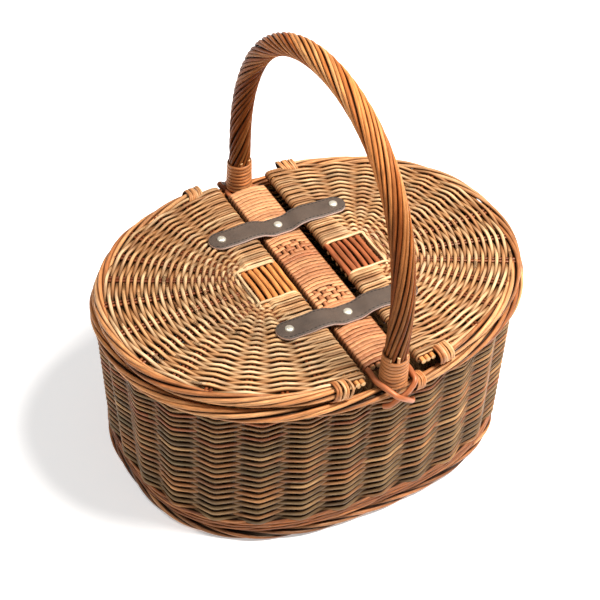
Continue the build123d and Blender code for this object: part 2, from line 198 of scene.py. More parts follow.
def store(piece, label, values, kind="FLOAT"):
    """Keeps a number or a vector at each point of a piece, for its material."""
    layer = piece.data.attributes.new(label, kind, "POINT")
    field = "value" if kind == "FLOAT" else "vector"
    layer.data.foreach_set(field, np.asarray(values, np.float32).ravel())


class Rods:
    """Strands gathered into one mesh, with a tint, cut ends, a painted shade and a grain coordinate."""

    def __init__(self):
        self.points, self.faces, self.grains = [], [], []
        self.values = {"tint": [], "cut": [], "shade": []}
        self.count = 0

    def keep(self, points, faces, grain, **values):
        self.faces += (faces + self.count).tolist()
        self.points.append(points)
        self.grains.append(grain)
        for label, value in values.items():
            self.values[label].append(np.broadcast_to(value, len(points)))
        self.count += len(points)

    def add(self, path, radius, facing, sides=7, flat=1.0, closed=False, tint=None, shade=1.0, ends=True,
            crease=0.8, power=1.5, proud=None):
        """One strand. flat squeezes it along the facing direction, shade darkens it along its length, and
        crease paints shade on the sides that face away from the surface it lies in. In a woven wall proud
        says how far the strand stands out, from -1 to 1: each face is painted lighter on the side where it is
        outermost, and painted darker where it lies behind."""
        path = np.asarray(path, float)
        count = len(path)
        radius = np.broadcast_to(radius, count)[:, None, None]
        if closed:
            tangent = unit(np.roll(path, -1, 0) - np.roll(path, 1, 0))
        else:
            tangent = unit(np.gradient(path, axis=0))
        facing = np.broadcast_to(facing, path.shape)
        facing = unit(facing - (facing * tangent).sum(1, keepdims=True) * tangent)
        side = np.cross(tangent, facing)
        angle = np.arange(sides) * TAU / sides
        up, aside = np.cos(angle), np.sin(angle)
        ring = up[None, :, None] * facing[:, None] * flat + aside[None, :, None] * side[:, None]
        points = path[:, None] + ring * radius
        grain = np.stack(np.broadcast_arrays(along_path(path)[:, None], up * 2, aside * 2), -1)
        grain = grain + rng.uniform(0, 50, 3)
        if tint is None:
            tint = rng.uniform()
        # painted shade: crease darkens the sides of the strand that face away from its surface
        seen = up if proud is None else np.abs(up)
        lit = 1 - crease * (1 - np.clip((seen + 0.25) / 1.05, 0, 1)) ** power
        shade = np.broadcast_to(shade, count)[:, None] * lit[None]
        # painted light and shade: lighter where the strand stands out, darker where it lies behind
        if proud is not None:
            face = np.clip(up * 3, -1, 1)[None] * np.broadcast_to(proud, count)[:, None]
            shade = shade * np.clip(0.64 + 0.4 * face, 0.15, 1)
        quads = grid_quads(count, sides, closed)[:, ::-1]
        self.keep(points.reshape(-1, 3), quads, grain.reshape(-1, 3), tint=tint, cut=0.0, shade=shade.ravel())
        if ends and not closed:
            for place, sense in ((0, -1), (count - 1, 1)):
                middle = path[place] + tangent[place] * sense * float(radius[place, 0, 0]) * 0.2
                self.cap(points[place], middle, sense, grain[place], tint, shade[place].max())

    def cap(self, ring, middle, sense, grain, tint, shade):
        """Cut end of a strand, as a low cone."""
        around = np.arange(len(ring))
        faces = np.stack([around, np.roll(around, -1), np.full(len(ring), len(ring))], -1)
        if sense > 0:
            faces = faces[:, ::-1]
        self.keep(np.vstack([ring, middle]), faces, np.vstack([grain, grain.mean(0)]), tint=tint, cut=0.5,
                  shade=shade)

    def make(self, name, material):
        piece = add_mesh(name, np.vstack(self.points), self.faces, material)
        for label, values in self.values.items():
            store(piece, label, np.concatenate(values))
        store(piece, "grain", np.vstack(self.grains), "FLOAT_VECTOR")
        return piece


def zigzag(share, sharp=0.97):
    """Goes from 1 at share 0 to -1 at share 1, straight between with rounded ends."""
    return np.arcsin(sharp * np.cos(np.pi * share)) / math.asin(sharp)


def between(values, places, at):
    """Passes from each value to the next as a rod does between two stakes."""
    step = np.clip(np.searchsorted(places, at, side="right") - 1, 0, len(places) - 2)
    share = (at - places[step]) / (places[step + 1] - places[step])
    share = np.clip(share, 0, 1)
    blend = (1 - zigzag(share)) / 2
    return values[step] + (values[step + 1] - values[step]) * blend


# ---- materials
def linear(red, green, blue):
    """Display colour, 0 to 255, as scene-linear numbers."""
    values = []
    for value in (red, green, blue):
        value /= 255
        values.append(value / 12.92 if value <= 0.04045 else ((value + 0.055) / 1.055) ** 2.4)
    return (*values, 1.0)


class Nodes:
    """Short way to add and join shader nodes."""

    def __init__(self, name):
        self.material = bpy.data.materials.new(name)
        self.material.use_nodes = True
        self.tree = self.material.node_tree
        self.shader = self.tree.nodes["Principled BSDF"]

    def new(self, kind, **settings):
        node = self.tree.nodes.new(kind)
        for key, value in settings.items():
            setattr(node, key, value)
        return node

    def give(self, socket, value):
        """Joins a node's output to a socket, or sets the socket to a plain value."""
        if isinstance(value, bpy.types.NodeSocket):
            self.tree.links.new(value, socket)
        else:
            socket.default_value = value

    def set(self, name, value):
        self.give(self.shader.inputs[name], value)

    def attribute(self, name, socket="Fac"):
        return self.new("ShaderNodeAttribute", attribute_name=name).outputs[socket]

    def place(self):
        return self.new("ShaderNodeTexCoord").outputs["Object"]

    def noise(self, coordinate, scale, detail=3.0, roughness=0.55):
        node = self.new("ShaderNodeTexNoise")
        inputs = {"Vector": coordinate, "Scale": scale, "Detail": detail, "Roughness": roughness}
        for key, value in inputs.items():
            self.give(node.inputs[key], value)
        return node.outputs["Fac"]

    def stretch(self, coordinate, scale):
        node = self.new("ShaderNodeMapping")
        self.give(node.inputs["Scale"], scale)
        self.give(node.inputs["Vector"], coordinate)
        return node.outputs["Vector"]

    def ramp(self, factor, stops):
        node = self.new("ShaderNodeValToRGB")
        elements = node.color_ramp.elements
        while len(elements) < len(stops):
            elements.new(0.5)
        for element, (place, colour) in zip(elements, stops):
            element.position = place
            element.color = colour
        self.give(node.inputs["Fac"], factor)
        return node.outputs["Color"]

    def greys(self, factor, *stops):
        """Ramp of greys, each given as its place and its value."""
        return self.ramp(factor, [(place, (value, value, value, 1.0)) for place, value in stops])

    def mix(self, factor, first, second, mode="MIX"):
        node = self.new("ShaderNodeMix", data_type="RGBA", blend_type=mode)
        for number, value in ((0, factor), (6, first), (7, second)):
            self.give(node.inputs[number], value)
        return node.outputs[2]

    def times(self, first, second):
        return self.mix(1.0, first, second, "MULTIPLY")

    def add_part(self, first, second, share):
        """First value plus a share of the second."""
        part = self.new("ShaderNodeMath", operation="MULTIPLY")
        self.give(part.inputs[0], second)
        self.give(part.inputs[1], share)
        total = self.new("ShaderNodeMath", operation="ADD")
        self.give(total.inputs[0], first)
        self.give(total.inputs[1], part.outputs[0])
        return total.outputs[0]

    def bump(self, height, strength, distance):
        node = self.new("ShaderNodeBump")
        for key, value in (("Strength", strength), ("Distance", distance), ("Height", height)):
            self.give(node.inputs[key], value)
        self.set("Normal", node.outputs["Normal"])


def willow(name, tones, streak=0.35, rough=(0.38, 0.6), shine=0.5):
    """Peeled or unpeeled rod: one tone per rod, streaks and blotches along it, pale cut ends, and painted
    shade from each point's shade value.
    """
    m = Nodes(name)
    grain = m.attribute("grain", "Vector")
    stops = [(k / (len(tones) - 1), linear(*tone)) for k, tone in enumerate(tones)]
    streaks = m.noise(m.stretch(grain, (0.09, 1.6, 1.6)), 1.0, 4.0, 0.62)
    blotches = m.noise(m.stretch(grain, (0.035, 0.25, 0.25)), 1.0, 3.0, 0.6)
    specks = m.noise(m.stretch(grain, (0.9, 1.4, 1.4)), 1.6, 2.0, 0.5)
    # painted shade: the shade value picks warm dark brown at 0, mid brown at 0.45 and full colour from 0.9
    shades = [(0.0, (0.045, 0.024, 0.014, 1)), (0.45, (0.42, 0.31, 0.23, 1)), (0.9, (1, 1, 1, 1))]
    colour = m.ramp(m.attribute("tint"), stops)
    colour = m.times(colour, m.greys(streaks, (0.3, 1 - streak), (0.7, 1 + streak * 0.45)))
    colour = m.times(colour, m.greys(blotches, (0.32, 0.72), (0.68, 1.16)))
    colour = m.times(colour, m.greys(specks, (0.66, 1.0), (0.76, 0.55)))
    colour = m.times(colour, m.ramp(m.attribute("shade"), shades))
    m.set("Base Color", m.mix(m.attribute("cut"), colour, linear(236, 205, 150)))
    m.set("Roughness", m.greys(streaks, (0.3, rough[1]), (0.7, rough[0])))
    m.set("Specular IOR Level", shine)
    m.set("Specular Tint", (1.0, 0.78, 0.55, 1.0))
    m.bump(m.add_part(streaks, specks, 0.4), 0.5, 0.0004)
    return m.material


def leather(name, colour, edge):
    """Dull coated leather with a fine pebble, scuffs and a raw cut edge."""
    m = Nodes(name)
    place = m.place()
    pebble = m.new("ShaderNodeTexVoronoi", feature="DISTANCE_TO_EDGE")
    m.give(pebble.inputs["Scale"], 1100)
    m.give(pebble.inputs["Vector"], place)
    cells = m.greys(pebble.outputs["Distance"], (0.0, 0.0), (0.35, 1.0))
    cloud = m.noise(place, 60, 4.0)
    scuff = m.noise(m.stretch(place, (60, 420, 420)), 1.0)
    base = m.times(linear(*colour), m.greys(cloud, (0.3, 0.8), (0.7, 1.22)))
    base = m.times(base, m.greys(scuff, (0.62, 1.0), (0.75, 1.35)))
    base = m.times(base, m.greys(cells, (0.0, 0.82), (1.0, 1.0)))
    m.set("Base Color", m.mix(m.attribute("cut"), base, linear(*edge)))
    m.set("Roughness", m.greys(scuff, (0.4, 0.62), (0.7, 0.46)))
    m.set("Sheen Weight", 0.08)
    m.bump(m.add_part(cells, cloud, 0.6), 0.45, 0.00025)
    return m.material


def metal(name, colour, rough):
    """Polished rivet metal with faint wear."""
    m = Nodes(name)
    wear = m.noise(m.place(), 700)
    m.set("Base Color", m.times(linear(*colour), m.greys(wear, (0.3, 0.93), (0.7, 1.03))))
    m.set("Roughness", m.greys(wear, (0.3, rough * 0.8), (0.75, rough * 1.5)))
    m.set("Metallic", 0.62)
    m.bump(wear, 0.1, 0.0001)
    return m.material


def thread(name, colour):
    """Dark waxed thread with a fine twist."""
    m = Nodes(name)
    twist = m.noise(m.place(), 2500, 2.0)
    m.set("Base Color", m.times(linear(*colour), m.greys(twist, (0.3, 0.7), (0.7, 1.2))))
    m.set("Roughness", 0.8)
    m.bump(twist, 0.4, 0.0002)
    return m.material


OLIVE_ROD = willow("olive_willow", [(114, 88, 54), (152, 106, 62), (126, 98, 62), (156, 86, 48),
                                    (188, 136, 82), (104, 86, 56), (168, 110, 62), (92, 70, 46),
                                    (196, 150, 98)], streak=0.55)
STAKE_ROD = willow("stake_willow", [(140, 98, 58), (160, 114, 66)])
WALE_ROD = willow("wale_willow", [(142, 80, 44), (170, 102, 58), (118, 62, 33), (190, 122, 74)], streak=0.5)
FOOT_ROD = willow("foot_willow", [(140, 80, 44), (194, 126, 78), (100, 50, 26), (222, 156, 102)],
                  streak=0.65, rough=(0.28, 0.46))
BORDER_ROD = willow("border_willow", [(196, 122, 66), (224, 154, 94), (158, 88, 44), (236, 180, 122)],
                    streak=0.55)
LID_ROD = willow("lid_willow", [(234, 188, 138), (244, 206, 156), (214, 162, 110), (232, 182, 128),
                                (190, 136, 90), (244, 206, 160), (188, 150, 108)], streak=0.55)
LID_BORDER_ROD = willow("lid_border_willow", [(204, 132, 78), (230, 168, 112), (168, 100, 54),
                                              (240, 190, 138)], streak=0.55)
LID_STICK = willow("lid_stick_willow", [(236, 164, 98), (224, 146, 80), (206, 122, 68), (182, 104, 64),
                                        (166, 92, 58)], streak=0.45, rough=(0.28, 0.48))
ROPE_ROD = willow("rope_willow", [(204, 120, 60), (228, 150, 86), (178, 98, 46), (240, 178, 116),
                                  (212, 132, 72)], streak=0.55, rough=(0.34, 0.52), shine=0.12)
CANE = willow("split_cane", [(216, 146, 90), (198, 124, 72), (226, 160, 104), (180, 110, 62)], streak=0.5,
              rough=(0.3, 0.5))
BRIDGE_CANE = willow("bridge_cane", [(178, 108, 70), (212, 148, 100), (166, 100, 66), (222, 160, 110),
                                     (194, 126, 88)], streak=0.45, rough=(0.34, 0.54))
TIE_ROD = willow("tie_willow", [(176, 98, 60), (196, 118, 74)], rough=(0.26, 0.44))
BASE_ROD = willow("base_willow", [(166, 120, 76), (180, 134, 86), (150, 106, 66)])
LEATHER = leather("strap_leather", (84, 68, 56), (246, 222, 212))
STITCH = thread("strap_thread", (40, 36, 34))
NICKEL = metal("rivet_nickel", (238, 231, 212), 0.3)


def finish_piece(piece, body, slot, *nodes):
    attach(piece, body)
    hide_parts(*nodes)


# ---- side wall
ROWS = 42
ROW_PITCHES = (4.25, 3.05)  # at the foot and at the border, before the rows are fitted to the wall
ROD_WAVE = 5.7  # how far a rod swings in and out between the stakes
ROD_OVERLAP = 0.3  # stakes that two rods run side by side where one follows the other
ROW_STEPS = np.array([0, 0.05, 0.12, 0.24, 0.37, 0.5, 0.63, 0.76, 0.88, 0.95])
FILLERS = (-0.4, -0.31, -0.21, -0.105, 0, 0.105, 0.21, 0.31, 0.4)  # places beside a stake, in stakes
FILLER_RADIUS = 2.6


def row_heights():
    """Middle height of each row; the rods thin out towards their tips, so the rows close up."""
    pitches = np.linspace(*ROW_PITCHES, ROWS)
    pitches *= (wall_high[2] - wall_low[2] + 6.5) / pitches.sum()
    return wall_low[2] - 1.0 + np.cumsum(pitches) - pitches / 2, pitches


def side_weave(starts, name):
    """Every rod starts behind a stake and climbs one row at each stake it passes."""
    rods = Rods()
    heights, pitches = row_heights()
    rows = np.arange(ROWS)
    for first in starts:
        cuts = [-1, int(rng.integers(9, 15)), int(rng.integers(22, 30)), ROWS]
        for start, end in zip(cuts[:-1], cuts[1:]):
            low = start - (ROD_OVERLAP if start > 0 else 0)
            high = end + (ROD_OVERLAP if end < ROWS else 0)
            steps = (np.arange(start - 1, end + 1)[:, None] + ROW_STEPS).ravel()
            steps = steps[(steps > low + 0.01) & (steps < high - 0.01)]
            steps = np.concatenate([[low], steps, [high]])
            height = np.interp(steps, rows, heights)
            thick = np.interp(steps, rows, pitches) * 0.6 * rng.uniform(0.95, 1.05)
            drift = np.interp(steps, np.arange(-1, ROWS + 1), rng.normal(0, 0.16, ROWS + 2))
            wave = bowed(zigzag(np.abs((steps + 1) % 2 - 1)), 1.12)
            points, facing = wall_points(first + steps, height + drift, ROD_WAVE * wave)
            # painted light and shade: each rod is lighter where it passes outside a stake and darker where it
            # passes behind; crease paints shade on its upper and lower sides
            rods.add(points, thick, facing, sides=8, flat=0.78, crease=0.95, power=1.2, proud=wave)
    return rods.make(name, OLIVE_ROD)


def side_stakes():
    """Rods side by side at each stake, which close the wall behind the weave. They carry painted shade,
    darker the further they stand from the stake, so the slots between the rows look shadowed.
    """
    rods = Rods()
    height = np.linspace(foot_high[2], border_low[2] + 4, 12)
    on_wall = np.clip(height, wall_low[2], wall_high[2])
    for stake in range(STAKES):
        for aside in FILLERS:
            points, facing = wall_points(np.full(12, stake + aside), on_wall, 0.0)
            points[:, 2] = height
            rods.add(points, FILLER_RADIUS, facing, sides=8, flat=0.9 - 1.1 * abs(aside),
                     shade=0.42 - 0.8 * abs(aside), proud=0.0)
    # painted shade ring: a dark ring that closes the foot of the wall from inside
    painted_shade_ring(rods, WALL_FOOT, FULL, wall_low[2] - 1.5, 3.4)
    return rods.make("side_stake_rods", STAKE_ROD)


BASE_ROWS = 46
BASE_WAVE = 1.5
BASE_HEART = 50.0  # half length of the innermost row
BASE_ROD_RADIUS = 2.4
BASE_STICK_RADIUS = 2.1


def base_weave():
    """Closing oval rows over the spread base sticks."""
    rods = Rods()
    outer = (base_high[0] + 0.5, base_high[1] + 0.5)
    steps = np.arange(0, STAKES, 0.25)
    for row in range(BASE_ROWS):
        share = (row + 0.5) / BASE_ROWS
        half = (BASE_HEART + (outer[0] - BASE_HEART) * share, (outer[1] + 1) * share)
        wave = np.cos(np.pi * (steps + row)) * min(1.0, 0.25 + share)
        points, _ = ring_points(half, FULL, steps, BASE_MIDDLE + BASE_WAVE * wave, 0.0)
        # painted light and shade: the rows are lighter where they pass over a stick and darker where they
        # pass under
        rods.add(points, BASE_ROD_RADIUS, UP, sides=8, flat=0.7, closed=True, proud=wave)
    # painted shade ring round the base's outer row
    painted_shade_ring(rods, (outer[0] + 1.5, outer[1] + 1.5), FULL, BASE_MIDDLE, 2.6)
    return rods.make("base_weave_rods", BASE_ROD)


def base_sticks():
    """Lengthways sticks under cross sticks, each cut to the base's outline."""
    rods = Rods()
    layout = ((0, np.arange(-48, 49, 16), 0.97, -1.5), (1, np.arange(-136, 137, 34), 1.0, 1.5))
    for axis, places, reach, lift in layout:
        for place in places:
            at = np.linspace(-base_high[axis] * reach, base_high[axis] * reach, 60)
            bow = (1 - (abs(place) / base_high[1 - axis]) ** FULL) ** (1 / FULL)
            at = at[np.abs(at) < base_high[axis] * bow]
            x, y = (at, place) if axis == 0 else (place, at)
            rods.add(line_of(x, y, BASE_MIDDLE + lift), BASE_STICK_RADIUS, UP, sides=8)
    return rods.make("base_stick_rods", BASE_ROD)


# ---- waling, foot and borders
WALE_ROWS, WALE_STRANDS = 3, 3
WALE_RADIUS = 1.8
WALE_LIFE = 60  # tenths of a stake from one rod's start to the next one's


def waling():
    """Rows of three strands, each passing outside two stakes and inside one."""
    rods = Rods()
    pitch = (wale_high[2] - wale_low[2] - 1.2) / WALE_ROWS
    half = (wale_high[0] - 5.0, wale_high[1] - 5.0)
    steps = np.arange(0, STAKES + 0.6, 0.1)
    for row in range(WALE_ROWS):
        for strand in range(WALE_STRANDS):
            cycle = ((steps - strand - row * 1.4) % WALE_STRANDS) / WALE_STRANDS
            out = np.interp(cycle, [0, 0.14, 0.34, 0.55, 0.7, 0.86, 1.0],
                            [-2.4, 2.0, 3.6, 3.4, 1.6, -3.2, -2.4])
            rise = np.interp(cycle, [0, 0.72, 1.0], [-2.0, 2.4, -2.0])
            height = wale_low[2] + 1.6 + (row + 0.5) * pitch + rise
            points, facing = ring_points(half, FULL, steps, height, out)
            # painted shade: darker where a strand runs inside the stakes
            shade = np.clip(0.6 + out / 9, 0.1, 1)
            for first in range(0, len(steps) - 1, WALE_LIFE):
                part = slice(first, first + WALE_LIFE + 4)
                rods.add(points[part], WALE_RADIUS * rng.uniform(0.86, 1.06), facing[part], sides=9,
                         shade=shade[part], crease=1.0, power=1.0)
    # two painted shade rings behind the waling
    painted_shade_ring(rods, half, FULL, wale_low[2] + 3.4, 3.2)
    painted_shade_ring(rods, half, FULL, wale_low[2] + 9.5, 3.4)
    return rods.make("bottom_wale_rods", WALE_ROD)


def painted_shade_ring(rods, half, fullness, middle, radius):
    """Rod of painted shade, dark all over, that closes a ring of rods from inside, so the gaps between them
    look shadowed.
    """
    points, facing = ring_points(half, fullness, np.arange(0, STAKES, 0.25), middle, 0.0)
    rods.add(points, radius, facing, sides=10, closed=True, shade=0.0)


def rolled_border(rods, half, fullness, middle, section, starts, life, thick, angles, reach=np.inf,
                  turned=0.0):
    """Rods laid along a border, each rolling from below, over the outside and top, to the inside. life is
    each rod's length in stakes, and reach and turned fit a border that goes only part of the way round."""
    for start in starts:
        share = np.linspace(0, 1, int(12 * life))
        stake = start + rng.uniform(-0.12, 0.12) + share * life * rng.uniform(0.95, 1.05)
        radius = np.interp(share, [0, 1], thick) * rng.uniform(0.93, 1.06)
        angle = np.radians(np.interp(share, [0, 1], angles) + rng.normal(0, 4))
        proud = rng.uniform(-1.1, 0.25)
        out = (section[0] - radius + proud) * np.cos(angle)
        height = middle + (section[1] - radius + min(proud, 0)) * np.sin(angle)
        points, facing = ring_points(half, fullness, stake + turned, height, out)
        keep = np.abs(stake) <= reach
        if keep.sum() > 5:
            rods.add(points[keep], radius[keep], tilted(facing, angle)[keep], sides=10, crease=1.0, power=1.0)


def top_border():
    rods = Rods()
    middle = border_low[2] + BORDER_DEPTH
    rolled_border(rods, BORDER_HALF, ROUND, middle + 0.4, (BORDER_DEPTH, BORDER_DEPTH), np.arange(STAKES),
                  5.3, (2.4, 2.0), (-140, 200))
    # painted shade ring inside the border
    painted_shade_ring(rods, BORDER_HALF, ROUND, middle - 0.4, BORDER_DEPTH - 4.4)
    return rods.make("top_border_rods", BORDER_ROD)


def foot_border():
    rods = Rods()
    depth = (foot_high[2] - foot_low[2]) / 2
    half = (foot_high[0] - depth, foot_high[1] - depth)
    middle = foot_low[2] + depth - 0.4
    rolled_border(rods, half, FULL, middle, (depth, depth - 0.4), np.arange(STAKES), 3.6, (2.15, 1.8),
                  (170, -150))
    # painted shade ring inside the foot border
    painted_shade_ring(rods, half, FULL, middle, depth - 2.6)
    return rods.make("foot_border_rods", FOOT_ROD)


# ---- handle
STRANDS = 15
STRAND_RADIUS = 1.98
SHOULDER_RADIUS = 215.0  # gentle bend between each straight leg and the crown
SHOULDER_ANGLE = math.radians(27.2)
SHOULDER_WARP = 4.5  # how far the front shoulder leans sideways
WRAP_TURNS = 8
WRAP_START = {FRONT: 4.0, REAR: 1.2}  # angle at which each winding starts
ROD_ENDS = (0.3, 0.9, 1.7, 4.4, 5.3)  # angles of the rod ends left above a winding
LASHING_SQUARE = 0.75


def handle_line(samples=400):
    """Centre line of the bow, from the front foot over to the rear, and the length along it."""
    spread = (rope_high[1] - rope_low[1]) / 2 - (rope_high[0] - rope_low[0]) / 2
    top = rope_high[2] - rope_high[0]
    rise, narrowing = math.sin(SHOULDER_ANGLE), 1 - math.cos(SHOULDER_ANGLE)
    crown = (spread - SHOULDER_RADIUS * narrowing) / math.cos(SHOULDER_ANGLE)
    leg_top = top - SHOULDER_RADIUS * rise - crown * (1 - rise)
    leg = leg_top - rope_low[2]
    shoulder = leg + SHOULDER_RADIUS * SHOULDER_ANGLE
    total = shoulder + crown * (math.pi / 2 - SHOULDER_ANGLE)
    along = np.linspace(0, 2 * total, samples)
    run = np.minimum(along, 2 * total - along)
    turn = np.clip((run - leg) / SHOULDER_RADIUS, 0, SHOULDER_ANGLE) + np.maximum(run - shoulder, 0) / crown
    below = run <= shoulder
    y = np.where(below, spread - SHOULDER_RADIUS * (1 - np.cos(turn)), crown * np.cos(turn))
    z = np.where(below, rope_low[2] + np.minimum(run, leg) + SHOULDER_RADIUS * np.sin(turn),
                 top - crown * (1 - np.sin(turn)))
    warp = SHOULDER_WARP * np.sin(np.pi * np.clip(along / (2 * total) / 0.66, 0, 1)) ** 2
    return line_of(warp, np.where(along < total, -y, y), z), along


def handle_rope():
    """Rods twisted round the core. One turn of the twist is longest in the front leg. Their colour carries
    painted light and shade along the bow: brightest over the front shoulder and the crown, dark over the
    lower front leg and the rear leg."""
    rods = Rods()
    line, along = handle_line()
    across = np.broadcast_to([1.0, 0.0, 0.0], line.shape)
    inward = np.cross(unit(np.gradient(line, axis=0)), across)
    outer = rope_high[0]
    lap = along / along[-1]
    pitch = np.interp(lap, [0, 0.15, 0.35, 0.48, 0.6, 1], [380, 380, 270, 200, 170, 175])
    wound = np.concatenate([[0], np.cumsum(np.diff(along) / pitch[1:])])
    # painted light and shade along the bow, from the front foot (0) to the rear foot (1)
    painted_light = np.interp(lap, [0, 0.12, 0.25, 0.36, 0.5, 0.6, 0.75, 1],
                     [0.38, 0.38, 0.52, 1.0, 1.0, 0.66, 0.41, 0.36])
    for strand in range(STRANDS):
        swell = 1 + 0.05 * np.sin(along / rng.uniform(40, 90) + rng.uniform(0, 6))
        radius = (STRAND_RADIUS + rng.uniform(-0.2, 0.12)) * swell
        angle = (wound + strand / STRANDS) * TAU + rng.uniform(-0.08, 0.08)
        facing = np.cos(angle)[:, None] * across + np.sin(angle)[:, None] * inward
        points = line + facing * (outer - radius)[:, None]
        rods.add(points, radius, facing, sides=10, shade=painted_light, crease=1.0, power=0.75)
    # a dark rod of painted shade inside the strands, so the gaps between them look shadowed
    rods.add(line, outer - 3.2, across, sides=16, shade=0.0)
    return rods.make("handle_rope_rods", ROPE_ROD)


def handle_wrap(end):
    """Flat cane wound round the handle's foot, with a few rod ends left above it."""
    rods = Rods()
    foot_radius = (wrap_high[0] - wrap_low[0]) / 2
    low, high = wrap_low[2], wrap_high[2]
    width = (high - low) / WRAP_TURNS
    angle = np.arange(0, WRAP_TURNS * TAU, TAU / 28)
    share = angle / angle[-1]
    radius = foot_radius - 1.3 - share * 0.9 + rng.normal(0, 0.05, len(angle))
    centre = end * (rope_high[1] - rope_high[0])
    angle = angle + WRAP_START[end]
    facing = line_of(np.cos(angle), np.sin(angle), 0)
    points = facing * radius[:, None] + line_of(0, centre, low + width / 2 + share * (high - low - width))
    rods.add(points, width / 2 * 0.95, facing, sides=12, flat=0.62, tint=0.4, crease=1.0, power=0.8)
    for place in ROD_ENDS:
        reach = np.array([np.cos(place), np.sin(place), 0])
        stub = np.array([high - 8, high + rng.uniform(0.5, 3.0)])
        path = line_of(0, centre, stub) + reach * (foot_radius - 3.2)
        rods.add(path, rng.uniform(1.3, 1.9), reach, sides=8)
    return rods.make(f"handle_wrap_cane_{END_NAMES[end]}", CANE)


def smooth_path(points, samples=60):
    """Even curve through a few points."""
    points = np.asarray(points, float)
    places = along_path(points)
    at = np.linspace(0, places[-1], samples)
    slope = np.gradient(points, places, axis=0)
    step = np.clip(np.searchsorted(places, at, side="right") - 1, 0, len(points) - 2)
    span = (places[step + 1] - places[step])[:, None]
    t = (at[:, None] - places[step][:, None]) / span
    return ((2 * t ** 3 - 3 * t ** 2 + 1) * points[step] + (t ** 3 - 2 * t ** 2 + t) * span * slope[step]
            + (-2 * t ** 3 + 3 * t ** 2) * points[step + 1] + (t ** 3 - t ** 2) * span * slope[step + 1])


def tie_rods(end):
    """The ends of the bridge's outer sticks, crossed over the border outside the handle. At the rear they
    lie lower and closer to the winding."""
    rods = Rods()
    rim = HALF_WIDTH
    over = [(-18, -140, 192.5), (-17.8, -158, 192.6), (-15, 3 - rim, 192), (-8, -9 - rim, 188),
            (5, -9.6 - rim, 178), (12, -6 - rim, 170.5), (16, -1 - rim, 166)]
    under = [(18, -140, 192.5), (18, -160, 192.4), (16.4, -0.5 - rim, 190.4), (10, -4 - rim, 185.4),
             (-4, -4 - rim, 176), (-11, -2 - rim, 170), (-14, 2 - rim, 167)]
    for path in (over, under):
        path = smooth_path(path) * [-end, -end, 1]
        if end == REAR:
            inner = np.clip((rim - 2 - np.abs(path[:, 1])) / 8, 0, 1)
            path[:, 2] -= 3.5 + 5.0 * inner
            path[:, 0] *= 1 - 0.26 * inner
        rods.add(path, np.linspace(3.1, 2.6, len(path)), (0, end, 0.3), sides=12, crease=0.75)
    return rods.make(f"tie_rods_{END_NAMES[end]}_willow", TIE_ROD)


def lashing(rods, half, fullness, middle, section, stake, width, turns, thick, skew):
    """Cane wound round a border at one place, turn beside turn."""
    angle = np.arange(32) * TAU / 32
    for turn in range(turns):
        share = (turn + 0.5) / turns - 0.5
        lean = skew * rng.uniform(0.5, 1.5) / turns * np.sin(angle + 0.6)
        grow = thick * 0.5 + rng.uniform(-0.2, 0.3)
        out = (section[0] + grow) * bowed(np.cos(angle), LASHING_SQUARE)
        height = middle + (section[1] + grow) * bowed(np.sin(angle), LASHING_SQUARE)
        points, facing = ring_points(half, fullness, stake + (share + lean) * width, height, out)
        rods.add(points, thick * rng.uniform(0.9, 1.06), tilted(facing, angle), sides=10, flat=0.8,
                 closed=True, crease=0.97)


def border_binding(end):
    """Small cane binding beside the handle's foot."""
    rods = Rods()
    stake = 21.55 if end == FRONT else 7.55
    lashing(rods, BORDER_HALF, ROUND, border_low[2] + BORDER_DEPTH, (BORDER_DEPTH, BORDER_DEPTH), stake, 0.22,
            5, 1.15, 0.8)
    return rods.make(f"border_binding_cane_{END_NAMES[end]}", CANE)


# ---- bridge
BRIDGE_STICKS = (-18.0, -11.4, -4.8, 4.8, 11.4, 18.0)
BRIDGE_INNER = 15.0  # the sticks nearer the middle than this go through the check patches
CHECK_PATCHES = ((26.0, 46.0), (-49.0, -29.0))
CHECK_DROP = 5.4
CANE_TURNS = 60
CANE_HALF = 1.15  # half the thickness of the cane
CANE_CORNER = 2.5
TOP_POINTS, SIDE_POINTS, UNDER_POINTS = 61, 7, 12


def checked(y, margin=0.0):
    """Whether a place along the bridge lies in a check-woven patch."""
    return np.any([(y > low - margin) & (y < high + margin) for low, high in CHECK_PATCHES], axis=0)


